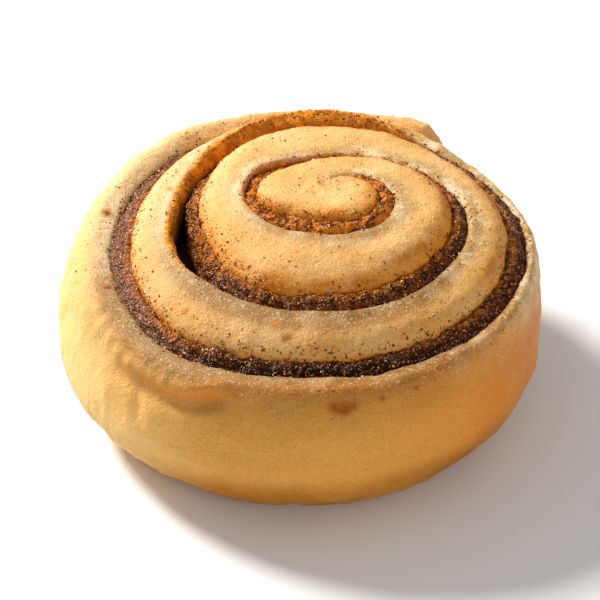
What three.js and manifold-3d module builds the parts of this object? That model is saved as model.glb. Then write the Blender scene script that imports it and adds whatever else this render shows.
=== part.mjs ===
// A baked cinnamon roll: a strip of yeast dough spread with cinnamon sugar and wound four turns, so
// that the filling shows as a spiral of three.
// Millimetres, +Z up. The bun stands on its flat base, with the origin under the middle of it.
// The swirl winds clockwise from the middle out, seen from above, and its tail ends at the back (+Y).
import * as THREE from 'three';
import { mergeVertices } from 'three/addons/utils/BufferGeometryUtils.js';
import Module from 'manifold-3d';

// ---- The bun's outside ----
const bunWidth = 96;
const bunHeight = 45;          // in the middle of the dome
const rimHeight = 32.5;        // where the dome meets the side
const bulgeHeight = 15;        // height of the widest part
const baseInset = 9;           // how far the flat base lies inside the widest part
const shoulderInset = 5.5;     // how far the rim lies inside the widest part
const domePower = 2.2;         // above 2, the dome is flatter in the middle and falls faster at the rim

// ---- The rolled layers ----
const swirlAside = 3.7;        // the swirl's middle lies this far towards +X from the bun's
const swirlAback = 3;          // and this far towards +Y
const swirlStart = 0.05;       // in turns from 12 o'clock
const swirlEnd = 2.9;
// The filling's distance from the swirl's middle at 12, 3, 6 and 9 o'clock, turn after turn,
// as a share of half the bun's width.
const swirlReach = [
  0.046, 0.281, 0.21, 0.273,
  0.302, 0.583, 0.558, 0.544,
  0.656, 0.819, 0.81, 0.825,
  0.798,
];

// ---- The filling and the slot that holds it ----
const fillingThickness = 1.8;
const fillingSwell = 0.7;      // how far the filling swells to each side where it shows
const fillingSunk = 1.4;       // its crest lies this far under the dome
const clearance = 0.3;         // between filling and dough, on each side and at both ends
const grooveDepth = 4.2;       // from the dome down to where the slot's walls run straight
const grooveFlare = 2.6;       // how far the groove widens to each side, which rounds the layers
const taperTurns = 0.3;        // filling and groove grow to full size over this stretch at each end
const endShare = 0.35;         // their share of full size at the very ends

// ---- The open pocket on the outer side of the filling ----
const pocketWidth = 2.8;
const pocketFloor = 22;        // height of its bottom above the base
const pocketTurn = 1.72;       // where its middle lies
const pocketHalfTurns = 0.11;

// ---- The strip's tail, pressed on at the back ----
const tailTurn = 0.085;        // its end, in turns from 12 o'clock
const tailStep = 3.4;          // how far the side falls back beyond it
const tailRun = 0.13;          // turns over which the side comes out again

// ---- Facets ----
const sideFacets = 72;
const footSteps = 4;
const shoulderSteps = 5;
const domeRings = 6;
const stepsPerTurn = 32;

const halfWidth = bunWidth / 2;
const rimRadius = halfWidth - shoulderInset;
const fullTurn = 2 * Math.PI;
const cutPast = 6;             // a cutting shape reaches this far past the dome and the base
const point = (x, y) => new THREE.Vector2(x, y);

// 0 at and below a, 1 at and above b, smooth in between.
const ease = (x, a, b) => THREE.MathUtils.smoothstep(x, a, b);

// The side, as distance from the axis and height: up to the widest part, then on up to the rim.
const foot = new THREE.CubicBezierCurve(
  point(halfWidth - baseInset, 0),
  point(halfWidth - baseInset / 3, 0),
  point(halfWidth, bulgeHeight / 3),
  point(halfWidth, bulgeHeight));
const shoulder = new THREE.CubicBezierCurve(
  point(halfWidth, bulgeHeight),
  point(halfWidth, (bulgeHeight + rimHeight) / 2),
  point(halfWidth - shoulderInset / 3, rimHeight - shoulderInset / 3),
  point(rimRadius, rimHeight));

// Height of the dome at a distance from the bun's axis.
function domeAt(radius) {
  return bunHeight - (bunHeight - rimHeight) * (radius / rimRadius) ** domePower;
}

// ---- Along the swirl ----
const reach = new THREE.SplineCurve(
  swirlReach.map((share, quarter) => point(quarter / 4, share * halfWidth)));
const lastReachTurn = (swirlReach.length - 1) / 4;

// The middle of the filling, seen from above, after a number of turns clockwise from 12 o'clock.
function swirlPoint(turn) {
  const radius = reach.getPoint(turn / lastReachTurn).y;
  const angle = turn * fullTurn;
  return point(swirlAside + radius * Math.sin(angle), swirlAback + radius * Math.cos(angle));
}

// Unit vector across the filling, pointing out of the swirl.
function swirlNormal(turn) {
  const nudge = 1e-3;
  const along = swirlPoint(turn + nudge).sub(swirlPoint(turn - nudge)).normalize();
  return point(-along.y, along.x);
}

// A spot beside the filling's middle. Below the widest part every layer is drawn in towards the
// axis by the same share as the side is.
function beside(turn, across, share = 1) {
  return swirlPoint(turn).multiplyScalar(share).addScaledVector(swirlNormal(turn), across);
}

// How many turns a short way along the swirl takes.
function turnsFor(distance, turn) {
  const nudge = 1e-3;
  return distance * 2 * nudge / swirlPoint(turn + nudge).distanceTo(swirlPoint(turn - nudge));
}

// How much of its full size the filling has, from endShare at its ends to 1.
function fullness(turn) {
  const grown = ease(turn, swirlStart, swirlStart + taperTurns)
    * (1 - ease(turn, swirlEnd - taperTurns, swirlEnd));
  return endShare + (1 - endShare) * grown;
}

// A closed solid that stands along the swirl. section(turn, dome) gives the half-width of its
// foot, how far it reaches through the base, and the crown's [across, height] points from the
// outer side over to the inner one, where dome(across) is the height of the dome at that spot.
// The solid reaches the distance past beyond the filling at both ends.
function sweepAlongSwirl(section, past) {
  const steps = Math.round((swirlEnd - swirlStart) * stepsPerTurn);
  const turns = [];
  for (let step = 0; step <= steps; step++) {
    turns.push(THREE.MathUtils.lerp(swirlStart, swirlEnd, step / steps));
  }
  if (past > 0) {
    turns.unshift(swirlStart - turnsFor(past, swirlStart));
    turns.push(swirlEnd + turnsFor(past, swirlEnd));
  }
  const rings = turns.map((turn) => {
    const { half, through, crown } = section(turn, (across) => domeAt(beside(turn, across).length()));
    const heights = foot.getPoints(footSteps).map(({ x, y }) => ({ share: x / halfWidth, height: y }));
    if (through > 0) heights.unshift({ share: heights[0].share, height: -through });
    const leg = (across) => heights.map((level) => ({ across, ...level }));
    const outline = [
      ...leg(half),
      ...crown.map(([across, height]) => ({ across, share: 1, height })),
      ...leg(-half).reverse(),
    ];
    return { turn, outline, legLevels: heights.length };
  });
  return closedSweep(rings);
}

// The faces that close a ring: a ladder of them between the two legs, which follow the bun's side,
// and a flat one above.
function ringFaces({ outline, legLevels }) {
  const faces = [];
  const last = outline.length - 1;
  for (let level = 0; level < legLevels - 1; level++) {
    faces.push([level, level + 1, last - level - 1], [level, last - level - 1, last - level]);
  }
  const above = outline.slice(legLevels - 1, last - legLevels + 2);
  const flat = above.map(({ across, height }) => point(across, height));
  for (const face of THREE.ShapeUtils.triangulateShape(flat, [])) {
    faces.push(face.map((corner) => corner + legLevels - 1));
  }
  return faces;
}

// The surface over a row of rings of equal length, closed at each end.
function closedSweep(rings) {
  const ringSize = rings[0].outline.length;
  const positions = rings.flatMap(({ turn, outline }) => outline.flatMap(
    ({ across, share, height }) => [...beside(turn, across, share).toArray(), height]));
  const index = [];
  for (let step = 0; step < rings.length - 1; step++) {
    for (let corner = 0; corner < ringSize; corner++) {
      const next = (corner + 1) % ringSize;
      const here = step * ringSize;
      const there = here + ringSize;
      index.push(here + corner, here + next, there + next);
      index.push(here + corner, there + next, there + corner);
    }
  }
  for (const [ring, reversed] of [[0, true], [rings.length - 1, false]]) {
    for (const face of ringFaces(rings[ring])) {
      const corners = face.map((corner) => ring * ringSize + corner);
      index.push(...(reversed ? corners.reverse() : corners));
    }
  }
  const geometry = new THREE.BufferGeometry();
  geometry.setAttribute('position', new THREE.Float32BufferAttribute(positions, 3));
  geometry.setIndex(index);
  return geometry;
}

// ---- The shapes ----

// The bun before the swirl is cut into it: flat base, bulging side and dome, on a round outline
// that falls back a step beyond the tail.
function wholeBun() {
  const profile = [point(0, 0), ...foot.getPoints(footSteps), ...shoulder.getPoints(shoulderSteps).slice(1)];
  for (let ring = domeRings - 1; ring > 0; ring--) {
    const radius = rimRadius * ring / domeRings;
    profile.push(point(radius, domeAt(radius)));
  }
  profile.push(point(0, bunHeight));

  const geometry = new THREE.LatheGeometry(profile, sideFacets).rotateX(Math.PI / 2);
  const position = geometry.getAttribute('position');
  for (let i = 0; i < position.count; i++) {
    const radius = Math.hypot(position.getX(i), position.getY(i));
    if (radius === 0) continue;
    const turn = Math.atan2(position.getX(i), position.getY(i)) / fullTurn;
    const fallBack = tailStep * ease(turn, tailTurn, tailTurn + 1 / sideFacets)
      * (1 - ease(turn, tailTurn, tailTurn + tailRun));
    const shrink = 1 - fallBack * ease(radius, rimRadius * 0.8, rimRadius) / radius;
    position.setXY(i, position.getX(i) * shrink, position.getY(i) * shrink);
  }
  return geometry;
}

// The filling's half-width, its half-width where it swells, and how deep its crest and that swell
// lie under the dome. Where it is thin, its crest lies deeper.
function fillingSize(turn) {
  const size = fullness(turn);
  const half = fillingThickness / 2 * size;
  const crestDepth = fillingSunk * (2 - size);
  return { half, swell: half + fillingSwell * size, crestDepth, swellDepth: (grooveDepth + crestDepth) / 2 };
}

// The filling: a sheet as tall as the bun, standing on the base, with a swollen crest.
function fillingSheet(turn, dome) {
  const { half, swell, crestDepth, swellDepth } = fillingSize(turn);
  const side = (sign) => [
    [sign * half, dome(sign * half) - grooveDepth],
    [sign * swell, dome(sign * swell) - swellDepth],
    [sign * half, dome(sign * half) - crestDepth - fillingSwell / 3],
  ];
  return { half, through: 0, crown: [...side(1), [0, dome(0) - crestDepth], ...side(-1).reverse()] };
}

// What is cut from the bun: a slot with straight walls for the filling, a groove that opens out
// above it, and the pocket on its outer side, with a sloping floor.
function swirlCut(turn, dome) {
  const { half, swell, swellDepth } = fillingSize(turn);
  const wall = half + clearance;
  const lip = swell + clearance;
  const edge = lip + grooveFlare * fullness(turn);
  const pocket = pocketWidth
    * ease(turn, pocketTurn - pocketHalfTurns, pocketTurn)
    * (1 - ease(turn, pocketTurn, pocketTurn + pocketHalfTurns));
  const groove = (sign, gap) => [
    [sign * (wall + gap), dome(sign * (wall + gap)) - grooveDepth],
    [sign * (lip + gap), dome(sign * (lip + gap)) - swellDepth],
    [sign * (edge + gap), dome(sign * (edge + gap)) + clearance],
    [sign * (edge + gap), bunHeight + cutPast],
  ];
  const ledge = [[wall, pocketFloor], [wall + pocket, pocketFloor + pocketWidth]];
  const crown = [...ledge, ...groove(1, pocket), ...groove(-1, 0).reverse()];
  return { half: wall, through: cutPast, crown };
}

// ---- The two pieces ----
const wasm = await Module();
wasm.setup();

// A closed geometry as a manifold-3d solid, and back again.
function solidFrom(geometry) {
  geometry.deleteAttribute('normal');
  geometry.deleteAttribute('uv');
  const merged = mergeVertices(geometry, 1e-3);
  return new wasm.Manifold(new wasm.Mesh({
    numProp: 3,
    vertProperties: merged.getAttribute('position').array,
    triVerts: new Uint32Array(merged.index.array),
  }));
}

function geometryFrom(solid) {
  const mesh = solid.getMesh();
  const geometry = new THREE.BufferGeometry();
  geometry.setAttribute('position', new THREE.BufferAttribute(mesh.vertProperties, 3));
  geometry.setIndex(new THREE.BufferAttribute(mesh.triVerts, 1));
  geometry.computeVertexNormals();
  return geometry;
}

function namedMesh(name, geometry, color, roughness) {
  const material = new THREE.MeshStandardMaterial({ color, roughness, metalness: 0 });
  const mesh = new THREE.Mesh(geometry, material);
  mesh.name = name;
  return mesh;
}

const cutBun = solidFrom(wholeBun()).subtract(solidFrom(sweepAlongSwirl(swirlCut, clearance)));
const dough = namedMesh('dough', geometryFrom(cutBun), 0xdcb072, 0.6);
const filling = namedMesh('cinnamon_filling', sweepAlongSwirl(fillingSheet, 0), 0x6b3410, 0.45);

// The origin goes under the middle of the bun's box, which the tail's step moves a little.
dough.geometry.computeBoundingBox();
const middle = dough.geometry.boundingBox.getCenter(new THREE.Vector3());
for (const mesh of [dough, filling]) mesh.position.set(-middle.x, -middle.y, 0);

const cinnamonRoll = new THREE.Group();
cinnamonRoll.name = 'cinnamon_roll';
cinnamonRoll.add(dough, filling);

export default cinnamonRoll;
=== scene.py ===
# %% [markdown]
# A cinnamon roll is a strip of soft yeast dough, spread with butter and cinnamon sugar and wound up.
# It bakes into one bun: the layers rise, the middle ones highest, and the filling shows between them
# as a dark spiral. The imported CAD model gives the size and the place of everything. Its two solids,
# the dough and the filling, stay as plain shapes for collision, and finely shaped ones are shown.

# %% The frame
import math

import bmesh
import bpy
import numpy as np
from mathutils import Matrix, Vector


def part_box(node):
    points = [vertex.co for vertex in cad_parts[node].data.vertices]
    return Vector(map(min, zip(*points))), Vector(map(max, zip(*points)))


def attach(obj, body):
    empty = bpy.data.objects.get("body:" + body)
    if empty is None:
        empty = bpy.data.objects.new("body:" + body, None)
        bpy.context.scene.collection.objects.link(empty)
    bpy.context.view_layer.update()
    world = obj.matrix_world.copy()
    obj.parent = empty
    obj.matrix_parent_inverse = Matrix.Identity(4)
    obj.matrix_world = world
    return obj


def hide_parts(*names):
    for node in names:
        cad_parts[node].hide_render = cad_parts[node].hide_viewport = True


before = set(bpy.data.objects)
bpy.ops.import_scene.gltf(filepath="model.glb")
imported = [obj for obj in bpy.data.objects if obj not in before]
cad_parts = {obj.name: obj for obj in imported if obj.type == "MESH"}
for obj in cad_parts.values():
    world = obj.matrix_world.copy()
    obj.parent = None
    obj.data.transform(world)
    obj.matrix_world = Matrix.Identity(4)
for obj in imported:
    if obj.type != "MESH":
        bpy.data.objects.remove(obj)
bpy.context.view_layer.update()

MM = 0.001
FULL_TURN = 2 * math.pi
low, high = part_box("dough")
HALF_WIDTH = (high.x - low.x) / 2 / MM
HEIGHT = high.z / MM
rng = np.random.default_rng(7)
print(f"bun {2 * HALF_WIDTH:.1f} mm across, {HEIGHT:.1f} mm high")


# %% [markdown]
# The camera looks down on the roll at about 38 degrees, with a long lens from two thirds of a metre
# away, which keeps the near and the far side in proportion. It has no depth of field, so every
# layer is sharp.

# %% The camera
CAMERA_ELEVATION = math.radians(38)
CAMERA_DISTANCE = 0.66
CAMERA_TARGET = Vector((0.2, 0, 20.55)) * MM


def add_camera():
    back = Vector((0, -math.cos(CAMERA_ELEVATION), math.sin(CAMERA_ELEVATION)))
    bpy.ops.object.camera_add(location=CAMERA_TARGET + back * CAMERA_DISTANCE)
    camera = bpy.context.object
    camera.rotation_euler = (-back).to_track_quat("-Z", "Y").to_euler()
    camera.data.lens = 200
    camera.data.sensor_width = 36
    camera.data.clip_start = 0.01
    bpy.context.scene.camera = camera


add_camera()
print(f"camera {CAMERA_DISTANCE} m from the roll")


# %% [markdown]
# Everything follows one line: the filling, which winds clockwise from the middle out. Dough that is
# rolled by hand gives no even spiral, so the line isn't a formula. It is given by its distance from
# the swirl's middle after a number of turns from 12 o'clock, at a few points with a smooth curve
# through them. The same kind of curve gives its height and the width of the gap that it shows in.

# %% A smooth curve through a few points
def curve_through(*points):
    """A smooth function through (turn, value) points, level beyond the first and the last."""
    turns, values = np.array(points, float).T
    slopes = np.gradient(values, turns)

    def value(turn):
        turn = np.asarray(turn, float)
        here = np.clip(np.searchsorted(turns, turn) - 1, 0, len(turns) - 2)
        step = turns[here + 1] - turns[here]
        part = np.clip((turn - turns[here]) / step, 0, 1)
        left = values[here] * (1 + 2 * part) + step * slopes[here] * part
        right = values[here + 1] * (3 - 2 * part) - step * slopes[here + 1] * (1 - part)
        return left * (1 - part) ** 2 + right * part**2

    return value


def ease(x, start, end):
    """0 at start and before, 1 at end and after, smooth in between."""
    part = np.clip((np.asarray(x, float) - start) / (end - start), 0, 1)
    return part * part * (3 - 2 * part)


print(f"halfway from (0, 0) to (1, 1) the curve is at {curve_through((0, 0), (1, 1))(0.5):.2f}")


# %% The filling's line
SWIRL_X = 3.7
SWIRL_Y = 3.0
FILLING_START = 0.04
FILLING_END = 2.9
TAIL_TURN = 4.112
TAIL_THICKNESS = 3.4
TAIL_RUN = 0.13

filling_radius = curve_through(
    (0, 1.6), (0.05, 3.2), (0.1, 7.2), (0.16, 11.0), (0.2, 12.8), (0.26, 13.8), (0.34, 12.9),
    (0.42, 10.8), (0.5, 9.2), (0.6, 9.3), (0.7, 11.6), (0.78, 13.6), (0.86, 14.4), (0.95, 13.6),
    (1.0, 14.4), (1.06, 17.5), (1.13, 21.6), (1.2, 25.8), (1.26, 28.3), (1.35, 27.4),
    (1.45, 26.4), (1.5, 26.0), (1.6, 26.2), (1.69, 26.0), (1.74, 26.5), (1.8, 27.3), (1.85, 28.5),
    (1.91, 30.2), (1.96, 31.4), (2.02, 31.8), (2.1, 33.9), (2.18, 36.2), (2.25, 39.2),
    (2.33, 40.0), (2.42, 39.3), (2.51, 38.7), (2.56, 39.8), (2.61, 41.6), (2.66, 40.5),
    (2.72, 39.3), (2.78, 38.5), (2.83, 38.1), (2.9, 38.0), (3.1, 39.5))
filling_height = curve_through(
    (0, 44.6), (0.25, 44.4), (0.5, 44.0), (0.75, 43.4), (1, 42.6), (1.13, 41.6), (1.25, 40.5),
    (1.38, 38.8), (1.5, 38.0), (1.75, 38.5), (1.9, 39.5), (2.0, 39.6), (2.08, 38.6),
    (2.15, 37.0), (2.25, 35.5), (2.37, 33.4), (2.5, 32.0), (2.62, 32.4), (2.75, 33.5),
    (2.82, 34.9), (2.9, 35.4), (3.0, 34.5), (3.05, 34.5), (3.1, 35.4))

# The gap between two layers: its width at the top and deep down, and how far the layer inside
# stands above the filling and the layer outside lies below it.
gap_width = curve_through(
    (0, 0.4), (0.06, 0.6), (0.13, 0.9), (0.19, 1.6), (0.25, 2.8), (0.35, 2.7), (0.5, 2.6),
    (0.65, 2.6), (0.75, 2.4), (0.82, 2.4), (0.92, 2.8), (1.0, 2.0), (1.05, 0.7),
    (1.12, 0.6), (1.18, 1.3), (1.25, 3.0), (1.35, 3.0), (1.5, 2.9), (1.6, 3.4),
    (1.66, 5.8), (1.71, 6.8), (1.76, 6.2), (1.8, 6.0), (1.85, 4.8), (1.9, 4.4), (1.95, 5.0),
    (2.0, 5.4), (2.06, 4.4), (2.12, 2.6), (2.18, 3.0), (2.25, 3.7), (2.4, 3.1), (2.5, 3.0), (2.6, 3.6),
    (2.7, 3.6), (2.77, 3.8), (2.84, 2.8), (2.9, 1.5), (2.96, 0.3), (3.1, 0.0))
gap_deep = curve_through(
    (0, 0.3), (0.2, 1.2), (1, 1.0), (1.1, 0.3), (1.2, 1.2), (1.6, 1.4), (1.65, 4.0),
    (1.69, 6.2), (1.73, 4.8), (1.76, 2.8), (1.8, 1.4), (2, 1.6), (2.1, 1.4), (2.7, 1.4),
    (2.85, 0.8), (2.9, 0.2), (3.1, 0.0))
# How far the wall outside the gap comes in at the open pocket, and how much it leans.
pocket_trim = curve_through(
    (1.64, 0), (1.7, 0.3), (1.74, 1.0), (1.78, 1.7), (1.85, 1.2), (1.9, -0.4), (1.95, -1.5),
    (2.03, -1.5), (2.1, 0))
wall_lean = curve_through((1.66, 0.1), (1.74, 0.3), (1.8, 0.6), (2.04, 0.6), (2.12, 0.1))
gap_rise = curve_through(
    (0, 0.2), (0.2, 0.5), (0.5, 0.6), (0.8, 0.4), (0.92, 0.2), (1.02, 0.4), (1.12, 0.3), (1.3, 1.0),
    (1.5, 1.3), (1.75, 1.2), (2, 0.8), (2.2, 1.0), (2.5, 1.4), (2.75, 1.2), (2.9, 0.4), (3.1, 0))
gap_fall = curve_through(
    (0, 0.3), (0.2, 0.5), (0.5, 0.6), (0.8, 0.2), (0.92, -0.1), (1.02, 0.3), (1.15, 0.3), (1.3, 0.8),
    (1.5, 0.7), (1.75, 0.8), (1.9, 0.6), (2, 0.2), (2.06, 0.4), (2.1, 1.4), (2.15, 2.4), (2.2, 2.0),
    (2.3, 1.1), (2.5, 0.9), (2.75, 0.9), (2.9, 0.5), (3.1, 0))
print(f"filling {filling_radius(2.5):.1f} mm out at the front, {filling_height(2.5):.1f} mm up")


# %% [markdown]
# The layers' heights follow from the filling's. Each layer's top swells a little above the line
# between its two edges. The outermost one falls from its crest to the side as part of a
# superellipse, which is soft and low at the front and full at the right. Below the widest part,
# everything is drawn in towards the axis, so that the bun stands on a smaller flat base.

# %% The layers' shape
BULGE_HEIGHT = 15.0
BASE_POWER = 2.2
base_inset = curve_through((0, 9), (0.25, 9.5), (0.5, 10.5), (0.62, 10.8), (0.75, 8.5), (1, 9))
swell = curve_through(
    (0, 0.5), (0.5, 0.7), (1, 1.0), (1.5, 1.4), (2, 1.0), (2.5, 1.4), (2.85, 1.0), (3, 0.1),
    (3.1, 0.4), (3.5, 0.6), (3.75, 0.8), (3.88, 2.2), (4, 1.0), (4.06, 1.4), (4.1, 2.2))
shoulder_power = curve_through(
    (3, 2.2), (3.15, 2.3), (3.3, 2.2), (3.45, 1.6), (3.6, 1.5), (3.72, 1.7), (3.85, 2.4), (4, 2.7),
    (4.06, 3.4), (4.1, 4.2))


def side_share(x, y, height):
    """How far the side stands out at a height below the widest part, as a share of it."""
    part = np.clip(np.asarray(height, float) / BULGE_HEIGHT, 0, 1)
    turn = (np.arctan2(x, y) / FULL_TURN) % 1
    return 1 - base_inset(turn) / HALF_WIDTH * (1 - part) ** BASE_POWER


def whole_outline(turn):
    """Distance from the swirl's middle to the bun's widest outline, without the tail's step."""
    angle = turn * FULL_TURN
    ahead = SWIRL_X * math.sin(angle) + SWIRL_Y * math.cos(angle)
    aside = SWIRL_X * math.cos(angle) - SWIRL_Y * math.sin(angle)
    return math.sqrt((HALF_WIDTH + 0.5) ** 2 - aside**2) - ahead


def outline_radius(turn):
    """The same for the outermost layer, which comes out from under the tail."""
    past_tail = turn - (TAIL_TURN - 1)
    if not 0 <= past_tail < 0.5:
        return whole_outline(turn)
    return whole_outline(turn) - TAIL_THICKNESS * (1 - float(ease(past_tail, 0, TAIL_RUN)))


def place(turn, radius, height):
    """The point, in metres, that far from the swirl's middle after that many turns."""
    angle = np.asarray(turn, float) * FULL_TURN
    x = SWIRL_X + radius * np.sin(angle)
    y = SWIRL_Y + radius * np.cos(angle)
    share = side_share(x, y, height)
    return np.stack(np.broadcast_arrays(x * share, y * share, height), axis=-1) * MM


print(f"the base lies {base_inset(0.5):.1f} mm inside the widest part at the front")


# %% A layer's walls
def inner_wall(turn):
    """Where a layer begins, at the top and deep down, and the height of its inner edge."""
    if turn < 1:
        return 0.0, 0.0, float(filling_height(0)) + 0.2
    inside = turn - 1
    radius = float(filling_radius(inside))
    if turn > FILLING_END + 1:
        share = float(ease(turn, FILLING_END + 1, TAIL_TURN))
        radius = (1 - share) * radius + share * (whole_outline(turn) - TAIL_THICKNESS)
    height = float(filling_height(inside) - gap_fall(inside))
    near = radius + float(gap_width(inside)) / 2 - float(pocket_trim(inside))
    return near, min(near, radius + float(gap_deep(inside)) / 2), height


def outer_wall(turn):
    """Where a layer ends: at the filling, under the tail, or at the bun's outside."""
    height = float(filling_height(turn) + gap_rise(turn))
    if turn < FILLING_END:
        radius = float(filling_radius(turn))
        return radius - float(gap_width(turn)) / 2, radius - float(gap_deep(turn)) / 2, height
    if turn < TAIL_TURN - 1:
        radius = inner_wall(turn + 1)[0]
        return radius, radius, height
    radius = float(outline_radius(turn))
    return radius, radius, height


print(f"outermost layer from {inner_wall(3.5)[0]:.1f} to {outer_wall(3.5)[0]:.1f} mm at the front")


# %% [markdown]
# The strip's cross-section goes up its inner wall, over the top and down its outer wall. It has the
# same number of points at every turn, so that one closed prism can be bent into the whole roll.

# %% The strip's cross-section
SECTION_POINTS = 24


def section(turn):
    """The outline of the strip's cross-section at a turn, as (radius, height) points."""
    near, near_deep, near_height = inner_wall(turn)
    far, far_deep, far_height = outer_wall(turn)
    wide = far - near
    rounding = min(1.2, wide * 0.15)
    hump = float(swell(turn))
    outside = float(ease(turn, TAIL_TURN - 1.03, TAIL_TURN - 0.97))
    outer_end = (1 - outside) * far_height + outside * (near_height - 0.5)

    def top(share, raised):
        share *= 1 - 0.3 * outside
        return near + wide * share, near_height + (outer_end - near_height) * share + hump * raised

    inner = [
        (near_deep, 0.0),
        (near_deep, 12.0),
        (near_deep, near_height - 7.0),
        (near - float(wall_lean(turn - 1)) * (near - near_deep), near_height - 2.2),
        (near, near_height - 0.9),
        (near + 0.35 * rounding, near_height - 0.2),
        (near + rounding, near_height + 0.15 * hump),
        top(0.25, 0.35),
        top(0.4, 0.65),
        top(0.54, 0.9),
    ]
    hidden = [
        top(0.68, 1.0),
        top(0.82, 0.8),
        (far - 0.8, far_height + 0.3 * hump),
        (far - 0.1, far_height - 0.5),
        (far + 0.1 * (far_deep - far), far_height - 2.2),
        (far_deep, far_height - 7.0),
        (far_deep, 20.0),
        (far_deep, 14.0),
        (far_deep, 9.0),
        (far_deep, 5.0),
        (far_deep, 2.6),
        (far_deep, 1.0),
        (far_deep, 0.25),
        (far_deep - 1.0, 0.0),
    ]
    crest_radius, crest = top(0.54, 0.9)
    bend = 2 / float(shoulder_power(turn))
    side = [
        (crest_radius + (far - crest_radius) * math.sin(angle) ** bend,
         BULGE_HEIGHT + (crest - BULGE_HEIGHT) * math.cos(angle) ** bend)
        for angle in np.radians([14, 28, 42, 54, 66, 77, 85])
    ]
    side += [(far, height) for height in (15.0, 11.0, 7.0, 4.0, 1.8, 0.5)] + [(far - 1.2, 0.0)]
    outer = [(1 - outside) * np.array(h) + outside * np.array(s) for h, s in zip(hidden, side)]
    return np.array(inner + [tuple(p) for p in outer])


print(len(section(1.5)), "points in the section")


# %% [markdown]
# A strip starts as a disc, is extruded into a straight prism and cut into short stretches. Rolling
# it up then only moves its vertices: the place along the prism becomes the turn, and the corner of
# the disc becomes a point of the cross-section.

# %% Straight strips, and rolling them up
def only(piece):
    bpy.ops.object.select_all(action="DESELECT")
    piece.select_set(True)
    bpy.context.view_layer.objects.active = piece


def apply_modifier(piece, kind, **values):
    only(piece)
    modifier = piece.modifiers.new(kind.title(), kind)
    for key, value in values.items():
        setattr(modifier, key, value)
    bpy.ops.object.modifier_apply(modifier=modifier.name)


def clean_up(piece):
    """Merge doubles and turn all faces outwards."""
    only(piece)
    bpy.ops.object.mode_set(mode="EDIT")
    bpy.ops.mesh.select_all(action="SELECT")
    bpy.ops.mesh.remove_doubles(threshold=1e-7)
    bpy.ops.mesh.normals_make_consistent(inside=False)
    bpy.ops.object.mode_set(mode="OBJECT")


def straight_strip(name, corners, stretches):
    """A closed prism of unit length along X, with a ring of corners at the end of each stretch."""
    bpy.ops.object.select_all(action="DESELECT")
    upright = (0, math.pi / 2, 0)
    bpy.ops.mesh.primitive_circle_add(vertices=corners, radius=0.01, fill_type="NGON", rotation=upright)
    strip = bpy.context.object
    strip.name = name
    bpy.ops.object.transform_apply(location=False, rotation=True, scale=False)
    bpy.ops.object.mode_set(mode="EDIT")
    bpy.ops.mesh.select_all(action="SELECT")
    bpy.ops.mesh.extrude_region_move(TRANSFORM_OT_translate={"value": (1, 0, 0)})
    bpy.ops.mesh.select_all(action="DESELECT")
    for edge in bmesh.from_edit_mesh(strip.data).edges:
        edge.select_set(abs(edge.verts[0].co.x - edge.verts[1].co.x) > 0.5)
    bpy.ops.mesh.subdivide(number_cuts=stretches - 1)
    bpy.ops.object.mode_set(mode="OBJECT")
    return strip


def coordinates(piece):
    co = np.empty(len(piece.data.vertices) * 3)
    piece.data.vertices.foreach_get("co", co)
    return co.reshape(-1, 3)


def move_to(piece, co):
    piece.data.vertices.foreach_set("co", co.ravel())
    piece.data.update()


def roll_up(strip, corners, first_turn, last_turn, outline):
    co = coordinates(strip)
    corner = np.round(np.arctan2(co[:, 1], co[:, 2]) / FULL_TURN * corners).astype(int) % corners
    rolled = np.empty_like(co)
    for along in np.unique(np.round(co[:, 0], 5)):
        turn = first_turn + (last_turn - first_turn) * along
        points = outline(turn)
        here = np.abs(co[:, 0] - along) < 1e-4
        rolled[here] = place(turn, points[corner[here], 0], points[corner[here], 1])
    move_to(strip, rolled)
    clean_up(strip)


dough = straight_strip("dough_strip", SECTION_POINTS, 300)
roll_up(dough, SECTION_POINTS, 0.0, TAIL_TURN, section)
apply_modifier(dough, "SUBSURF", levels=1, render_levels=1)
print("strip of", len(dough.data.vertices), "vertices")


# %% [markdown]
# Under the grooves the layers have baked together into one crumb. A spun body fills the bun up to
# there, and a voxel remesh fuses it with the rolled strip, in the way that the dough fuses in the
# oven. A few rounds of smoothing take the voxels' stairs away.

# %% The crumb under the grooves
DOUGH_VOXEL = 0.64  # mm; a finer one takes the bun past 200,000 triangles


def add_crumb():
    profile = [(0, 0.6), (33, 0.6), (36, 2), (41.5, 8), (43, 15), (40, 21), (36, 23.5), (31, 25),
               (27, 26), (20, 30.5), (10, 33.5), (5, 34.5), (3, 41), (0, 43.4)]
    bpy.ops.object.select_all(action="DESELECT")
    bpy.ops.mesh.primitive_circle_add(vertices=len(profile), radius=0.01, fill_type="NOTHING")
    crumb = bpy.context.object
    crumb.name = "crumb"
    for vertex, (radius, height) in zip(crumb.data.vertices, profile):
        vertex.co = (radius * MM, 0, height * MM)
    bpy.ops.object.mode_set(mode="EDIT")
    bpy.ops.mesh.select_all(action="SELECT")
    bpy.ops.mesh.spin(steps=72, angle=FULL_TURN, center=(0, 0, 0), axis=(0, 0, 1))
    bpy.ops.object.mode_set(mode="OBJECT")
    clean_up(crumb)
    return crumb


def fuse(piece, voxel, rounds):
    only(piece)
    piece.data.remesh_voxel_size = voxel * MM
    piece.data.remesh_voxel_adaptivity = 0
    bpy.ops.object.voxel_remesh()
    apply_modifier(piece, "SMOOTH", factor=0.5, iterations=rounds)
    bpy.ops.object.shade_smooth()
    print(piece.name, len(piece.data.polygons), "faces")


def join(piece, others):
    only(piece)
    for other in others:
        other.select_set(True)
    bpy.ops.object.join()


join(dough, [add_crumb()])
dough.name = "dough_bun"
fuse(dough, DOUGH_VOXEL, 4)


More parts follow.
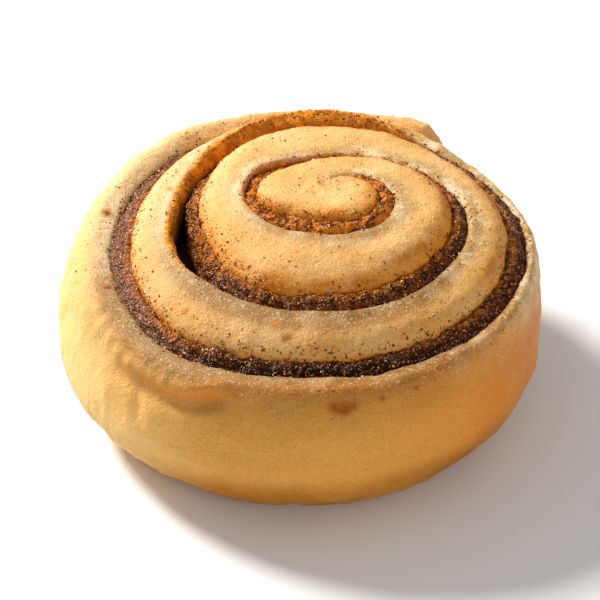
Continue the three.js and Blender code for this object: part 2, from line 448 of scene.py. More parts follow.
# %% [markdown]
# No baked dough is even. Two procedural cloud textures push the skin in and out, one over
# centimetres and one over millimetres. What a baker's eye would notice is pressed in: a fold
# with a crease at the front left, a ridge at the left, a dent at the front and two small bubbles.

# %% Uneven skin
def cloud(name, size, depth):
    texture = bpy.data.textures.new(name, "CLOUDS")
    texture.noise_scale = size * MM
    texture.noise_depth = depth
    return texture


def nearness(co, centre, reach):
    """1 at a place, falling off to nothing at about twice the reach. In millimetres."""
    distance = np.linalg.norm((co / MM - np.array(centre)) / np.array(reach), axis=1)
    return np.exp(-(distance**2))


def push(co, centre, reach, move):
    """Move what lies near a place by so much, most in its middle."""
    co += nearness(co, centre, reach)[:, None] * np.array(move) * MM


def roughen(piece, texture, depth):
    """Push the skin in and out by a cloud texture, over a depth in millimetres."""
    apply_modifier(piece, "DISPLACE", texture=texture, texture_coords="LOCAL", strength=depth * MM)


roughen(dough, cloud("waves", 9, 1), 1.1)
roughen(dough, cloud("ripples", 2.2, 2), 0.4)

# The fold runs along the shoulder, with a hollow above it and a shallow trough below it.
FOLD = [(-37.6, -16.6, 32.0), (-36.4, -20.4, 31.2), (-35.3, -23.8, 30.4), (-33.8, -27.4, 29.3),
        (-31.8, -29.8, 29.2), (-29.3, -31.9, 29.2), (-27.4, -33.7, 29.1), (-25.2, -35.4, 29.0),
        (-22.9, -36.9, 29.0), (-20.6, -38.1, 29.3), (-18.4, -38.6, 30.0), (-16.2, -38.9, 30.8),
        (-13.6, -38.8, 31.2)]
DENTS = [  # centre, reach and move of the crease, the ridge and the dent
    ((-30.6, -34.2, 24.0), (1.3, 2.0, 6.0), (0.45, 0.55, 0)),
    ((-44.5, -8.0, 24.5), (3.0, 9.0, 2.2), (0.7, 0, 0)),
    ((8.0, -43.2, 29.2), (2.4, 2.0, 1.0), (0, 0.1, -0.5)),
]
BUBBLES = [(6.3, -11.8, 42.8), (7.8, -12.0, 42.8)]
FLOOR_CLEARANCE = 0.05 * MM
skin = coordinates(dough)
for spot in FOLD:
    outwards = np.array([spot[0], spot[1], 22.0])
    outwards /= np.linalg.norm(outwards)
    push(skin, spot, (1.5, 1.5, 1.2), outwards * 0.75)
    push(skin, np.array(spot) + (-0.08 * spot[0], -0.08 * spot[1], 0.8), (2.2, 2.2, 1.6), -outwards * 0.4)
    push(skin, np.array(spot) + (0.04 * spot[0], 0.04 * spot[1], -3.2), (2.4, 2.4, 1.6), -outwards * 0.75)
for centre, reach, move in DENTS:
    push(skin, centre, reach, move)
for bubble in BUBBLES:
    push(skin, bubble, (0.8, 0.8, 0.8), (0, -0.15, 0.35))
skin[:, 2] = np.maximum(skin[:, 2], FLOOR_CLEARANCE)
move_to(dough, skin)
print(len(FOLD), "places along the fold")


# %% [markdown]
# The filling is one ribbon of sticky cinnamon sugar between the layers. It is rolled up like the
# strip of dough, with a section that reaches a little into both walls. At the back it has sunk deep
# into the gap, and at the left it clings to the inner wall beside an open pocket.

# %% The filling's ribbon
RIBBON_POINTS = 12
FILLING_VOXEL = 0.42  # mm
# How deep the filling has sunk, and the share of the gap that the open pocket takes.
sunk = curve_through(
    (0, 0.5), (0.2, 0.5), (0.7, 0.6), (0.8, 1.4), (0.95, 1.6), (1.1, 0.8), (1.25, 0.6), (1.55, 0.5),
    (1.8, 1.2), (1.88, 3.5), (1.95, 5.0), (2.04, 4.6), (2.1, 1.8), (2.16, 0.2), (2.3, 0.4), (2.9, 0.6))
pocket_share = curve_through(
    (1.6, 0), (1.64, 0.4), (1.68, 0.85), (1.72, 0.85), (1.77, 0.75), (1.83, 0.6), (1.9, 0.35),
    (1.96, 0.1), (2.02, 0))


def ribbon_section(turn):
    middle = float(filling_radius(turn))
    half = float(gap_width(turn)) / 2
    depth = float(sunk(turn))
    inner = middle - half
    outer = middle + half * (1 - 2 * float(pocket_share(turn))) + 0.5
    inner_top = float(filling_height(turn) + gap_rise(turn)) - depth
    outer_top = float(filling_height(turn) - gap_fall(turn)) - depth
    wide = outer - inner
    return np.array([
        (inner - 0.6, inner_top - 6.0),
        (inner - 0.7, inner_top - 3.5),
        (inner - 0.7, inner_top - 1.6),
        (inner - 0.2, inner_top - 0.5),
        (inner + 0.25 * wide, inner_top - 0.25 * (inner_top - outer_top)),
        (inner + 0.5 * wide, inner_top - 0.45 * (inner_top - outer_top)),
        (inner + 0.75 * wide, outer_top + 0.2),
        (outer, outer_top - 0.4),
        (outer + 0.3, outer_top - 1.6),
        (outer + 0.2, outer_top - 3.5),
        (outer, outer_top - 6.0),
        (middle, outer_top - 6.5),
    ])


filling = straight_strip("filling_ribbon", RIBBON_POINTS, 240)
roll_up(filling, RIBBON_POINTS, FILLING_START, FILLING_END, ribbon_section)
apply_modifier(filling, "SUBSURF", levels=1, render_levels=1)
fuse(filling, FILLING_VOXEL, 2)
roughen(filling, cloud("lumps", 2.6, 2), 1.6)
roughen(filling, cloud("clots", 0.9, 2), 0.8)
bpy.ops.object.shade_smooth()


# %% [markdown]
# The filling is full of sugar that has half melted and of coarse cinnamon. Each granule is a copy of
# one small icosahedron, turned, squashed and set on the ribbon at random. They are one mesh, made
# from the one shape's vertices, because a thousand separate objects would only be slower.

# %% Granules
GRAIN_SPREAD = 0.35  # mm either way, so that the granules don't show the grid of the faces


def faces_of(piece):
    """The middle, the normal and the area of each face."""
    polygons = piece.data.polygons
    centres = np.empty(len(polygons) * 3)
    normals = np.empty(len(polygons) * 3)
    areas = np.empty(len(polygons))
    polygons.foreach_get("center", centres)
    polygons.foreach_get("normal", normals)
    polygons.foreach_get("area", areas)
    return centres.reshape(-1, 3), normals.reshape(-1, 3), areas


def scatter(name, centres, normals, weight, count, sizes, depth):
    """Granules on faces chosen by weight, each sunk in by a share, depth, of its size in mm."""
    bpy.ops.object.select_all(action="DESELECT")
    bpy.ops.mesh.primitive_ico_sphere_add(subdivisions=1, radius=1)
    grains = bpy.context.object
    grains.name = name
    shape = coordinates(grains)
    faces = np.array([list(polygon.vertices) for polygon in grains.data.polygons])
    chosen = rng.choice(len(weight), count, p=weight / weight.sum())
    size = (sizes[0] + (sizes[1] - sizes[0]) * rng.random(count) ** 2) * MM
    stretch = rng.uniform(0.6, 1.3, (count, 3))
    turned = np.linalg.qr(rng.normal(size=(count, 3, 3)))[0]
    points = np.einsum("nij,vj->nvi", turned, shape) * (size[:, None] * stretch)[:, None, :]
    aside = rng.uniform(-GRAIN_SPREAD, GRAIN_SPREAD, (count, 3)) * MM
    aside -= normals[chosen] * np.einsum("ni,ni->n", aside, normals[chosen])[:, None]
    points += (centres[chosen] + aside - normals[chosen] * (size * depth)[:, None])[:, None, :]
    all_faces = (faces[None] + (np.arange(count) * len(shape))[:, None, None]).reshape(-1, 3)
    grains.data = bpy.data.meshes.new(name)
    grains.data.from_pydata(points.reshape(-1, 3).tolist(), [], all_faces.tolist())
    clean_up(grains)
    print(name, count, "granules")
    return grains


centres, normals, areas = faces_of(filling)
weight = areas * (normals[:, 2] > -0.1)
granules = scatter("cinnamon_granules", centres, normals, weight, 2000, (0.15, 0.42), 0.4)


# %% [markdown]
# The dough's colour depends on where it lies in a layer: pale and moist beside the filling that it
# was wound on, golden on the crest, stained orange at its outer edge, more on the front right as
# painted shade, and on the walls of the gaps.
# So each vertex is told its place in the swirl, as a few attributes that the material reads.

# %% Where each vertex lies in the swirl
def add_attribute(piece, name, values):
    attribute = piece.data.attributes.new(name, "FLOAT", "POINT")
    attribute.data.foreach_set("value", np.asarray(values, np.float32))


def swirl_place(co):
    """Turn, distance from the swirl's middle and height of each vertex, in turns and millimetres."""
    x, y, height = (co / MM).T
    share = side_share(x, y, height)
    x = x / share - SWIRL_X
    y = y / share - SWIRL_Y
    return (np.arctan2(x, y) / FULL_TURN) % 1, np.hypot(x, y), height


def near_gaps(co):
    """Distance to the gap inside and to the gap outside, and depth below the gap's edge."""
    turn, radius, height = swirl_place(co)
    inside = np.full(len(co), 50.0)
    outside = np.full(len(co), 50.0)
    depth = np.full(len(co), -5.0)
    for lap in range(3):
        here = turn + lap
        real = (here > FILLING_START) & (here < FILLING_END)
        line = filling_radius(here)
        half = gap_width(here) / 2
        past = radius - line - half + pocket_trim(here)
        before = line - half - radius
        inside = np.where(real & (radius > line) & (past < inside), past, inside)
        outside = np.where(real & (radius <= line) & (before < outside), before, outside)
        beside = real & (np.abs(radius - line) < half + 1.2)
        edge = filling_height(here) + np.where(radius > line, -gap_fall(here), gap_rise(here))
        depth = np.where(beside, edge - height, depth)
    return inside, outside, depth


def leaning_wall(turn, radius, inside):
    """1 on the wall that leans outwards, from the pocket round to the back, which sugar has run down."""
    lap = np.where(turn < 0.5, turn + 2, turn + 1)
    along = ease(lap, 1.64, 1.72) * (1 - ease(lap, 2.05, 2.11)) * (radius < 38)
    reach = 0.4 + (radius > 23) * (1.1 + 1.2 * ease(lap, 1.86, 1.94))
    return along * (inside > -6) * (1 - ease(inside, reach - 0.8, reach + 0.6))


# %% Baked, scorched and pale places
def baked_places(co, radius, height, outer_turn, start):
    """The shoulder, the fold, the rim at the back left and the tail are baked browner."""
    shoulder = np.exp(-(((radius - start - 3.6) / 1.5) ** 2))
    baked = 0.35 * shoulder * ease(outer_turn, 3.2, 3.35) * (1 - ease(outer_turn, 3.5, 3.62)) * (height > 20)
    for x, y, z in FOLD[4:]:
        baked = np.maximum(baked, 0.9 * nearness(co, (1.02 * x, 1.02 * y, z - 1.7), (2.6, 2.6, 1.5)))
    rim = ease(radius - start, 3.5, 6) * ease(outer_turn, 3.7, 3.78) * (1 - ease(outer_turn, 3.93, 4.0))
    baked = np.maximum(baked, 0.22 * rim * ease(height, 25, 29))
    tail = ease(outer_turn, 3.93, 4.02) * ease(radius, 38, 41) * (height > 28)
    return np.maximum(baked, 0.55 * tail)


def scorched_places(co):
    scorched = np.zeros(len(co))
    for x, y, z, size in SCORCHES:
        spot = nearness(co, (x, y, z), (size, size, 0.8 * size))
        scorched = np.maximum(scorched, np.minimum(1, 1.7 * spot))
    return scorched


def pale_valley(turn, radius, inside, depth, outer_turn, start):
    """1 beside the filling that a layer lies against, wider at the front and on the outermost layer."""
    at_front = ease(turn, 0.3, 0.42) * (1 - ease(turn, 0.6, 0.7)) * (radius > 26)
    at_right = ease(turn, 0.05, 0.15) * (1 - ease(turn, 0.35, 0.45))
    wide = np.where(radius > start - 1, 4.4 - 1.4 * at_right, 3.0 + 1.6 * at_front)
    valley = np.exp(-((np.maximum(inside, 0) / wide) ** 2)) * (1 - ease(depth, 0.5, 2))
    return valley * (1 - 0.75 * ease(outer_turn, 3.78, 3.88) * (radius > start - 1))


# %% The attributes of both pieces
def describe_dough(piece):
    """Give the dough the attributes that its finish reads."""
    co = coordinates(piece)
    turn, radius, height = swirl_place(co)
    inside, outside, depth = near_gaps(co)
    outer_turn = np.where(turn < TAIL_TURN - 4, turn + 4, turn + 3)
    start = filling_radius(np.minimum(outer_turn - 1, 3.1)) + gap_width(outer_turn - 1) / 2
    add_attribute(piece, "baked", baked_places(co, radius, height, outer_turn, start))
    add_attribute(piece, "scorched", scorched_places(co))
    add_attribute(piece, "valley", pale_valley(turn, radius, inside, depth, outer_turn, start))
    # The tanned outer edge of each layer, made stronger towards the front right, away from the key lamp, as
    # painted shade.
    edge_tan_and_shade = 0.35 + 0.65 * (0.5 + 0.5 * np.cos((turn - 0.33) * FULL_TURN))
    edge_tan_and_shade *= 0.12 + 0.88 * ease(height, 34.5, 38.5)
    add_attribute(piece, "edge", edge_tan_and_shade * np.exp(-((np.maximum(outside, 0) / 2.8) ** 2)))
    leaning = leaning_wall(turn, radius, inside)
    seam = 0.8 * (height < 1) * (np.minimum(inside, outside) < 0.3)
    add_attribute(piece, "stain", np.maximum(np.maximum(ease(depth, 0.2, 1.6), leaning), seam))
    # Painted shade: this attribute grows with depth below the edge of the gap and turns the dough near black
    # there.
    add_attribute(piece, "deep", ease(depth, 2.5 + 1.5 * leaning, 8) * (height > 10))
    wall = 0.85 * ease(radius - start, 0.8, 1.6) * (1 - ease(height, 25, 32))
    add_attribute(piece, "crust", np.maximum(ease(radius - start, 1.5, 6.0), wall) * (1 - ease(depth, 0, 1)))


def describe_filling(piece):
    """How far each vertex of the filling lies towards the wall inside it, which stands higher."""
    turn, radius, _ = swirl_place(coordinates(piece))
    across = np.full(len(turn), 50.0)
    for lap in range(3):
        here = turn + lap
        real = (here > FILLING_START - 0.02) & (here < FILLING_END + 0.02)
        aside = (radius - filling_radius(here)) / (gap_width(here) / 2 + 0.2)
        across = np.where(real & (np.abs(aside) < np.abs(across)), aside, across)
    add_attribute(piece, "upper", 1 - ease(across, -0.9, 0.1))


# %% Scorched spots
SCORCHES = [  # place and size
    (6.7, -43.0, 28.9, 1.2), (8.4, -42.9, 28.6, 1.7), (9.9, -42.5, 28.9, 1.1), (-2.6, -30.8, 35.6, 0.8),
    (-1.6, -30.6, 35.5, 0.6), (-38.0, 10.8, 33.9, 0.9), (-37.0, -10.6, 32.1, 0.8), (15.5, -41.3, 29.6, 0.5),
    (22.0, -38.6, 30.0, 0.5), (-41.8, 2.0, 31.0, 0.5),
]
describe_dough(dough)
describe_filling(filling)
print("attributes of the dough:", ", ".join(a.name for a in dough.data.attributes if a.data_type == "FLOAT"))


# %% [markdown]
# Crumbs of cinnamon sugar lie on the dough along the filling, most on the edge above it, and stick
# to the leaning wall. They are scattered like the granules, with a weight from the same distances.

# %% Crumbs
centres, normals, areas = faces_of(dough)
inside, outside, depth = near_gaps(centres)
turn, radius, height = swirl_place(centres)
beside = np.exp(-((np.maximum(outside, 0) / 1.3) ** 2)) + 0.4 * np.exp(-((np.maximum(inside, 0) / 0.7) ** 2))
beside *= depth < 2.5
sticky = 0.4 * leaning_wall(turn, radius, inside) * (depth > -0.4) * (depth < 6) * (1 - 0.7 * (turn > 0.85))
loose = 0.02 * (centres[:, 2] > 25 * MM) * (normals[:, 2] > 0.4)
weight = areas * (normals[:, 2] > 0.1) * (beside + sticky + loose)
crumbs = scatter("cinnamon_crumbs", centres, normals, weight, 7500, (0.1, 0.34), 0.3)


# %% [markdown]
# Two small node groups serve several finishes. Specks gives a mask of scattered dots, for cinnamon
# dust and darker bits. Patches gives a soft mask of uneven areas, for browning.

# %% Helpers for node trees
def add_node(tree, kind, links=None, **settings):
    """A shader node with its settings, and its inputs set to values or linked to sockets."""
    node = tree.nodes.new("ShaderNode" + kind)
    for name, value in settings.items():
        setattr(node, name, value)
    for socket, source in (links or {}).items():
        if isinstance(source, bpy.types.NodeSocket):
            tree.links.new(source, node.inputs[socket])
        else:
            node.inputs[socket].default_value = source
    return node


def math_node(tree, operation, first, second=0.0):
    return add_node(tree, "Math", {0: first, 1: second}, operation=operation).outputs[0]


def product(tree, first, *others):
    for other in others:
        first = math_node(tree, "MULTIPLY", first, other)
    return first


def mix_colour(tree, share, first, second, blend="MIX"):
    links = {0: share, 6: first, 7: second}
    return add_node(tree, "Mix", links, data_type="RGBA", blend_type=blend).outputs[2]


def rise(tree, value, start, end, low=0.0, high=1.0):
    """From low at start to high at end, smooth in between."""
    links = {"Value": value, "From Min": start, "From Max": end, "To Min": low, "To Max": high}
    return add_node(tree, "MapRange", links, interpolation_type="SMOOTHSTEP").outputs["Result"]


def new_group(name, inputs, output):
    """A node group with named float or vector inputs and one output."""
    group = bpy.data.node_groups.new(name, "ShaderNodeTree")
    for title, kind in inputs:
        group.interface.new_socket(name=title, in_out="INPUT", socket_type=kind)
    group.interface.new_socket(name=output, in_out="OUTPUT", socket_type="NodeSocketFloat")
    return group, group.nodes.new("NodeGroupInput").outputs, group.nodes.new("NodeGroupOutput").inputs


def use_group(tree, group, links):
    return add_node(tree, "Group", links, node_tree=group).outputs[0]


# %% The two node groups


def specks_group():
    names = [("Vector", "NodeSocketVector"), ("Scale", "NodeSocketFloat"), ("Share", "NodeSocketFloat"),
             ("Size", "NodeSocketFloat")]
    group, given, made = new_group("specks", names, "Mask")
    cells = add_node(group, "TexVoronoi", {"Vector": given["Vector"], "Scale": given["Scale"]})
    chance = add_node(group, "SeparateColor", {"Color": cells.outputs["Color"]}).outputs["Red"]
    chosen = math_node(group, "LESS_THAN", chance, given["Share"])
    soft = product(group, given["Size"], 0.5)
    dot = rise(group, cells.outputs["Distance"], given["Size"], soft)
    group.links.new(product(group, chosen, dot), made["Mask"])
    return group


def patches_group():
    names = [("Vector", "NodeSocketVector"), ("Scale", "NodeSocketFloat"), ("Start", "NodeSocketFloat"),
             ("End", "NodeSocketFloat")]
    group, given, made = new_group("patches", names, "Mask")
    noise = add_node(group, "TexNoise", {"Vector": given["Vector"], "Scale": given["Scale"], "Detail": 4.0})
    group.links.new(rise(group, noise.outputs["Fac"], given["Start"], given["End"]), made["Mask"])
    return group


specks = specks_group()
patches = patches_group()
print("node groups:", specks.name, "and", patches.name)


# %% Helpers for materials
def new_material(name):
    """A material with its shader node, and its Object coordinates."""
    material = bpy.data.materials.new(name)
    material.use_nodes = True
    tree = material.node_tree
    shader = tree.nodes["Principled BSDF"]
    return material, tree, shader, add_node(tree, "TexCoord").outputs["Object"]


def attribute(tree, name):
    return add_node(tree, "Attribute", attribute_name=name).outputs["Fac"]


def patch(tree, vector, scale, start, end):
    return use_group(tree, patches, {"Vector": vector, "Scale": scale, "Start": start, "End": end})


def speck(tree, vector, scale, share, size):
    return use_group(tree, specks, {"Vector": vector, "Scale": scale, "Share": share, "Size": size})


def bump(tree, shader, layers):
    """Normals from several (height, depth in mm) layers, the coarse one first."""
    normal = None
    for height, depth in layers:
        links = {"Height": height, "Distance": depth * MM, "Strength": 1.0}
        if normal is not None:
            links["Normal"] = normal
        normal = add_node(tree, "Bump", links).outputs["Normal"]
    tree.links.new(normal, shader.inputs["Normal"])


# %% [markdown]
# Baked dough scatters light inside, so it gets some subsurface, which softens the shadows in the
# grooves. The crest is golden and the valleys are pale. The side is lighter at the left and browner to
# the right, partly baked colour and partly painted light and shade, and darker towards the base. Painted
# light lightens the far left and painted shade darkens the front. The walls of the gaps are stained by
# the melted cinnamon sugar, painted bright as if lit through, and painted shade darkens them deep down.

# %% The dough's colours
CREAM = (0.88, 0.545, 0.215, 1)
GOLDEN = (0.78, 0.36, 0.05, 1)
PALE = (0.84, 0.66, 0.42, 1)
MOIST = (0.52, 0.31, 0.105, 1)
ORANGE = (0.60, 0.19, 0.015, 1)
TANNED = (0.74, 0.265, 0.012, 1)
# AMBER_AND_GLOW is the cinnamon stain on the walls of the gaps, made bright as painted light shining through
# the thin dough.
AMBER_AND_GLOW = (0.95, 0.37, 0.012, 1)
CINNAMON = (0.30, 0.07, 0.008, 1)
# DEPTH_SHADE is painted shade: near black, for dough far down in the gaps.
DEPTH_SHADE = (0.05, 0.008, 0.002, 1)
# The side colours are partly baked colour and partly painted light and shade: lit at the left, shaded at the
# right.
SIDE_PALE_AND_LIT = (0.90, 0.58, 0.21, 1)
SIDE_TAN = (0.68, 0.335, 0.065, 1)
SIDE_BROWN_AND_SHADE = (0.76, 0.27, 0.03, 1)
BACK_BROWN = (0.60, 0.27, 0.05, 1)
# LIT_CREAM is painted light: a light cream for the far left, which faces the key lamp.
LIT_CREAM = (1.0, 0.72, 0.37, 1)
OCHRE = (0.38, 0.13, 0.002, 1)
BAKED = (0.64, 0.22, 0.02, 1)
SCORCHED = (0.34, 0.08, 0.0, 1)
# FRONT_SHADE is painted shade for the front, which faces away from the key lamp.
FRONT_SHADE = (0.55, 0.45, 0.34, 1)
RUSSET = (0.58, 0.145, 0.003, 1)
# PAINTED_GLINT_CREAM is a painted highlight: glints on the moist skin.
PAINTED_GLINT_CREAM = (0.98, 0.80, 0.52, 1)
RUST = (0.50, 0.16, 0.015, 1)
DUST = [  # scale, share of cells, size, strength, colour
    (1900, 0.30, 0.40, 0.7, RUST),
    (1300, 0.16, 0.36, 0.9, RUST),
    (1100, 0.08, 0.34, 0.9, CINNAMON),
    (520, 0.08, 0.2, 0.95, CINNAMON),
    (230, 0.12, 0.26, 0.7, ORANGE),
]


# %% The layers and the side
def layer_colour(tree, at, x, valley, uneven):
    """Cream and golden on the crest, pale in the valley, with moist patches to the right that fade at the
    left as painted light.
    """
    colour = mix_colour(tree, product(tree, uneven, 0.55), CREAM, GOLDEN)
    # Painted light: the moist patches fade to a quarter at the left, where the key lamp lights the top.
    moist = product(tree, patch(tree, at, 240, 0.33, 0.58), rise(tree, x, -30 * MM, 5 * MM, 0.25, 1.0))
    return mix_colour(tree, valley, colour, mix_colour(tree, moist, PALE, MOIST))


def side_colour(tree, at, x, y, z):
    """Pale and lit at the left, browner to the right, partly baked colour and partly painted light and
    shade; darker towards the base.
    """
    # Lighter at the left and browner to the right: partly baked colour, partly painted light and shade from
    # the key lamp at the left.
    tan_and_shade = product(tree, rise(tree, x, -42 * MM, -12 * MM), rise(tree, y, 26 * MM, -6 * MM, 0.2, 1.0))
    side = mix_colour(tree, tan_and_shade, SIDE_PALE_AND_LIT, SIDE_TAN)
    side = mix_colour(tree, rise(tree, x, 5 * MM, 46 * MM), side, SIDE_BROWN_AND_SHADE)
    side = mix_colour(tree, rise(tree, x, 30 * MM, 45 * MM, 0, 0.7), side, RUSSET)
    base = product(tree, rise(tree, z, 16 * MM, 9 * MM), rise(tree, x, -40 * MM, -8 * MM, 0.25, 0.95))
    side = mix_colour(tree, base, side, OCHRE)
    return mix_colour(tree, product(tree, patch(tree, at, 60, 0.45, 0.7), 0.35), side, GOLDEN)


def around_the_bun(tree, colour, x, y, z, valley):
    """The far left is lighter, as painted light, the back of the side is brown, and the front is darker, as
    painted shade.
    """
    # Painted light: the far left, towards the key lamp, is mixed towards a light cream.
    lit_far_left = product(
        tree, rise(tree, x, -8 * MM, -30 * MM), rise(tree, y, -4 * MM, 16 * MM),
        rise(tree, z, 24 * MM, 32 * MM, 0, 0.6))
    colour = mix_colour(tree, lit_far_left, colour, LIT_CREAM)
    behind = product(tree, rise(tree, y, 8 * MM, 34 * MM), rise(tree, z, 33 * MM, 24 * MM, 0, 0.8))
    colour = mix_colour(tree, behind, colour, BACK_BROWN)
    # Painted shade: the front is multiplied by a shade colour, most in its valleys.
    front = product(
        tree, rise(tree, y, 8 * MM, -26 * MM), rise(tree, z, 20 * MM, 28 * MM),
        rise(tree, valley, 0, 0.6, 0.3, 1.3), rise(tree, x, 42 * MM, 18 * MM, 0.35, 1.0))
    return mix_colour(tree, front, colour, FRONT_SHADE, "MULTIPLY")


# %% Stains, dust and painted glints
def stain_colour(tree, colour, at, uneven):
    """Tanned and stained edges, partly painted shade, baked and scorched places, the walls of the gaps,
    stained and painted glowing, and painted shade deep in the gaps.
    """
    ragged = patch(tree, at, 420, 0.38, 0.62)
    edge = attribute(tree, "edge")
    # The edge tan is partly baked colour and partly painted shade, strongest on the front right.
    colour = mix_colour(tree, product(tree, edge, 0.95), colour, TANNED)
    run = product(tree, rise(tree, edge, 0.12, 0.6), patch(tree, at, 170, 0.40, 0.62))
    colour = mix_colour(tree, run, colour, ORANGE)
    baked = product(tree, attribute(tree, "baked"), rise(tree, uneven, -0.4, 0.6))
    colour = mix_colour(tree, baked, colour, BAKED)
    burnt = product(tree, attribute(tree, "scorched"), rise(tree, ragged, 0, 1, 0.8, 1.0))
    colour = mix_colour(tree, burnt, colour, SCORCHED)
    # The walls of the gaps: a real stain, painted bright orange as if lit through the dough.
    stained = mix_colour(tree, product(tree, ragged, 0.6), AMBER_AND_GLOW, CINNAMON)
    colour = mix_colour(tree, attribute(tree, "stain"), colour, stained)
    # Painted shade: dough far down in the gaps is turned near black.
    return mix_colour(tree, attribute(tree, "deep"), colour, DEPTH_SHADE)


def dust_colour(tree, colour, at, crust):
    """Much fine dust, some larger dark grains and a few soft orange spots, most on the top."""
    clusters = rise(tree, patch(tree, at, 130, 0.3, 0.62), 0, 1, 0.25, 1.0)
    top_only = product(tree, rise(tree, crust, 1.0, 0.5, 0.3, 1.0), clusters)
    for scale, share, size, strength, tint in DUST:
        mask = product(tree, speck(tree, at, scale, share, size), top_only, strength)
        colour = mix_colour(tree, mask, colour, tint)
    return colour


def glints_and_grain_colour(tree, colour, at, crust, valley):
    """Painted glints on the moist skin, most in the valleys, and a fine grain from the skin's tiny blisters.
    """
    # Painted glints: light specks on the moist skin, most in the valleys.
    painted_glints = add_node(tree, "TexNoise", {"Vector": at, "Scale": 2100.0, "Detail": 3.0}).outputs["Fac"]
    painted_glints = product(
        tree, rise(tree, painted_glints, 0.56, 0.66, 0, 0.65), rise(tree, crust, 0.4, 1.0, 1.0, 0.5),
        rise(tree, valley, 0, 0.8, 0.2, 0.75))
    colour = mix_colour(tree, painted_glints, colour, PAINTED_GLINT_CREAM)
    grain = add_node(tree, "TexNoise", {"Vector": at, "Scale": 2600.0, "Detail": 3.0}).outputs["Fac"]
    shade = rise(tree, grain, 0.3, 0.7, 0.90, 1.07)
    grey = add_node(tree, "CombineColor", {0: shade, 1: shade, 2: shade}).outputs[0]
    return mix_colour(tree, 1.0, colour, grey, "MULTIPLY")


# %% The dough's finish
def dough_finish():
    material, tree, shader, at = new_material("baked_dough")
    along = add_node(tree, "SeparateXYZ", {"Vector": at})
    x, y, z = along.outputs["X"], along.outputs["Y"], along.outputs["Z"]
    crust = attribute(tree, "crust")
    valley = attribute(tree, "valley")
    uneven = patch(tree, at, 90, 0.35, 0.68)

    colour = layer_colour(tree, at, x, valley, uneven)
    colour = mix_colour(tree, crust, colour, side_colour(tree, at, x, y, z))
    colour = around_the_bun(tree, colour, x, y, z, valley)
    colour = stain_colour(tree, colour, at, uneven)
    colour = dust_colour(tree, colour, at, crust)
    colour = glints_and_grain_colour(tree, colour, at, crust, valley)
    tree.links.new(colour, shader.inputs["Base Color"])

    tree.links.new(rise(tree, valley, 0, 1, 0.5, 0.3), shader.inputs["Roughness"])
    shader.inputs["Specular IOR Level"].default_value = 0.15
    shader.inputs["Specular Tint"].default_value = (1.0, 0.85, 0.65, 1)
    shader.inputs["Subsurface Weight"].default_value = 0.2
    shader.inputs["Subsurface Radius"].default_value = (1.0, 0.45, 0.15)
    shader.inputs["Subsurface Scale"].default_value = 2.0 * MM
    fine = add_node(tree, "TexNoise", {"Vector": at, "Scale": 2400.0, "Detail": 3.0}).outputs["Fac"]
    peel = add_node(tree, "TexNoise", {"Vector": at, "Scale": 800.0, "Detail": 2.0}).outputs["Fac"]
    bump(tree, shader, [(peel, 0.24), (fine, 0.22)])
    return material


# %% [markdown]
# The filling is molten sugar, butter and cinnamon: almost black where it is thick and deep, orange
# towards the middle and along its upper side, where the orange is partly a painted highlight, and wet
# enough to glint. Its colour also holds painted glints, most at the left, and a painted sheen there.

# %% The filling's finish
PASTE_DEEP = (0.014, 0.0018, 0.0002, 1)
PASTE_BROWN = (0.10, 0.014, 0.001, 1)
PASTE_RED = (0.15, 0.022, 0.001, 1)
PASTE_ORANGE = (0.80, 0.23, 0.008, 1)
PASTE_GRAIN = (0.60, 0.19, 0.012, 1)
PASTE_BLACK = (0.010, 0.0012, 0.0001, 1)
# PASTE_PAINTED_SHEEN is a painted reflection on the filling at the left.
PASTE_PAINTED_SHEEN = (0.42, 0.20, 0.12, 1)
# PASTE_PAINTED_GLINT is a painted highlight: glints in the filling.
PASTE_PAINTED_GLINT = (0.72, 0.46, 0.32, 1)
SUGAR_DARK = (0.20, 0.035, 0.003, 1)
SUGAR_LIGHT = (0.72, 0.25, 0.015, 1)


def paste_colour(tree, at):
    """Orange near the middle and on the upper side, partly a painted highlight there, darkest at the front,
    with painted glints, most at the left, and a painted sheen at the left.
    """
    middle = (SWIRL_X * MM, SWIRL_Y * MM, 44 * MM)
    shifted = add_node(tree, "VectorMath", {0: at, 1: middle}, operation="SUBTRACT").outputs[0]
    away = add_node(tree, "VectorMath", {0: shifted}, operation="LENGTH").outputs["Value"]
    along = add_node(tree, "SeparateXYZ", {"Vector": at})
    x, y = along.outputs["X"], along.outputs["Y"]
    lumps = patch(tree, at, 520, 0.40, 0.64)
    # Orange towards the middle is the filling's own colour; orange along the upper side is partly a painted
    # highlight.
    orange_and_lit = product(tree, attribute(tree, "upper"), 0.6)
    orange_and_lit = math_node(tree, "MAXIMUM", orange_and_lit, rise(tree, away, 32 * MM, 12 * MM))
    dark = mix_colour(tree, lumps, PASTE_DEEP, PASTE_BROWN)
    colour = mix_colour(tree, orange_and_lit, dark, mix_colour(tree, lumps, PASTE_RED, PASTE_ORANGE))
    coarse = product(tree, patch(tree, at, 1500, 0.54, 0.63), rise(tree, orange_and_lit, 0, 0.5, 0.15, 1.0))
    colour = mix_colour(tree, coarse, colour, PASTE_GRAIN)
    colour = mix_colour(tree, rise(tree, y, -24 * MM, -36 * MM, 0, 0.85), colour, PASTE_BLACK)
    # Painted reflection: a sheen mixed into the filling at the left.
    colour = mix_colour(tree, rise(tree, x, -20 * MM, -38 * MM, 0, 0.42), colour, PASTE_PAINTED_SHEEN)
    # Painted glints: light specks in the filling, most at the left.
    glints = product(tree, patch(tree, at, 2300, 0.58, 0.65), rise(tree, x, -8 * MM, -34 * MM, 0.6, 1.0))
    return mix_colour(tree, glints, colour, PASTE_PAINTED_GLINT)


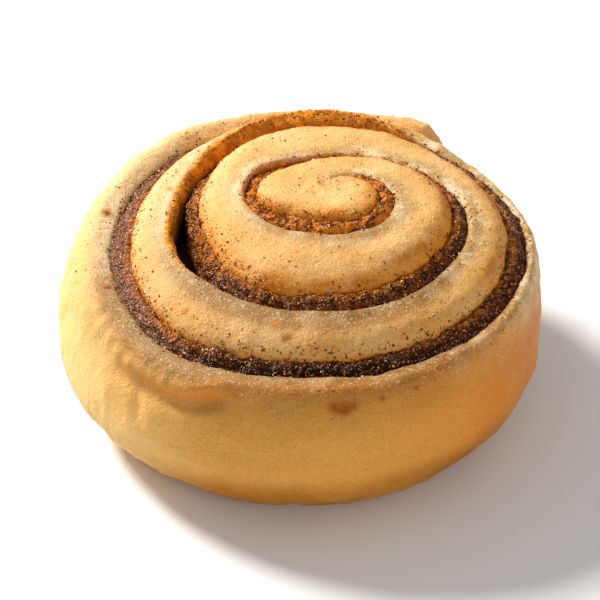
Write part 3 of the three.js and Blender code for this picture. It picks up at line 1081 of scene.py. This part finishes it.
def filling_finish():
    material, tree, shader, at = new_material("cinnamon_paste")
    tree.links.new(paste_colour(tree, at), shader.inputs["Base Color"])
    shader.inputs["Specular Tint"].default_value = (1.0, 0.5, 0.25, 1)
    tree.links.new(rise(tree, patch(tree, at, 700, 0.4, 0.6), 0, 1, 0.18, 0.5), shader.inputs["Roughness"])
    shader.inputs["Specular IOR Level"].default_value = 0.32
    fine = add_node(tree, "TexVoronoi", {"Vector": at, "Scale": 2200.0}).outputs["Distance"]
    grain = add_node(tree, "TexNoise", {"Vector": at, "Scale": 900.0, "Detail": 3.0}).outputs["Fac"]
    bump(tree, shader, [(grain, 0.8), (fine, 0.35)])
    return material


def granule_finish():
    material, tree, shader, at = new_material("cinnamon_sugar")
    colour = mix_colour(tree, patch(tree, at, 700, 0.42, 0.58), SUGAR_DARK, SUGAR_LIGHT)
    tree.links.new(colour, shader.inputs["Base Color"])
    shader.inputs["Roughness"].default_value = 0.2
    shader.inputs["Specular IOR Level"].default_value = 0.25
    return material


# %% Finishes on the pieces
def finish_piece(piece, material, node):
    piece.data.materials.clear()
    piece.data.materials.append(material)
    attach(piece, "root")
    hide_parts(node)


finish_piece(dough, dough_finish(), "dough")
finish_piece(filling, filling_finish(), "cinnamon_filling")
sugar = granule_finish()
finish_piece(granules, sugar, "cinnamon_filling")
finish_piece(crumbs, sugar, "cinnamon_filling")
bpy.ops.object.select_all(action="DESELECT")
print("finishes on", dough.name, filling.name, granules.name, crumbs.name)


# %% [markdown]
# The stage is a pale floor, a soft lamp from the back left, a large weak one from the front right
# and an even white world. The floor is the stage's, so it isn't a part of the roll.

# %% The stage
FLOOR_COLOUR = (0.95, 0.95, 0.945, 1)
LIGHTS = [  # name, place, size, power, colour
    ("key", (-0.62, 0.5, 0.66), 0.25, 15.5, (1, 0.98, 0.95)),
    ("fill", (0.5, -0.8, 0.35), 0.7, 2.6, (1, 0.97, 0.93)),
]
WORLD_STRENGTH = 0.36


def floor_finish():
    material, _, shader, _ = new_material("studio_floor")
    shader.inputs["Base Color"].default_value = FLOOR_COLOUR
    shader.inputs["Roughness"].default_value = 0.7
    return material


def add_light(name, location, size, power, colour):
    bpy.ops.object.light_add(type="AREA", location=location)
    light = bpy.context.object
    light.name = name
    light.data.shape = "DISK"
    light.data.size = size
    light.data.energy = power
    light.data.color = colour
    light.rotation_euler = (Vector((0, 0, 0.02)) - Vector(location)).to_track_quat("-Z", "Y").to_euler()


bpy.ops.mesh.primitive_plane_add(size=4, location=(0, 0, 0))
floor = bpy.context.object
floor.name = "floor"
floor.data.materials.append(floor_finish())
for light in LIGHTS:
    add_light(*light)
world = bpy.data.worlds.new("studio")
bpy.context.scene.world = world
world.use_nodes = True
world.node_tree.nodes["Background"].inputs["Color"].default_value = (1, 1, 1, 1)
world.node_tree.nodes["Background"].inputs["Strength"].default_value = WORLD_STRENGTH
bpy.context.scene.view_settings.view_transform = "Standard"
print(len(LIGHTS), "lights")
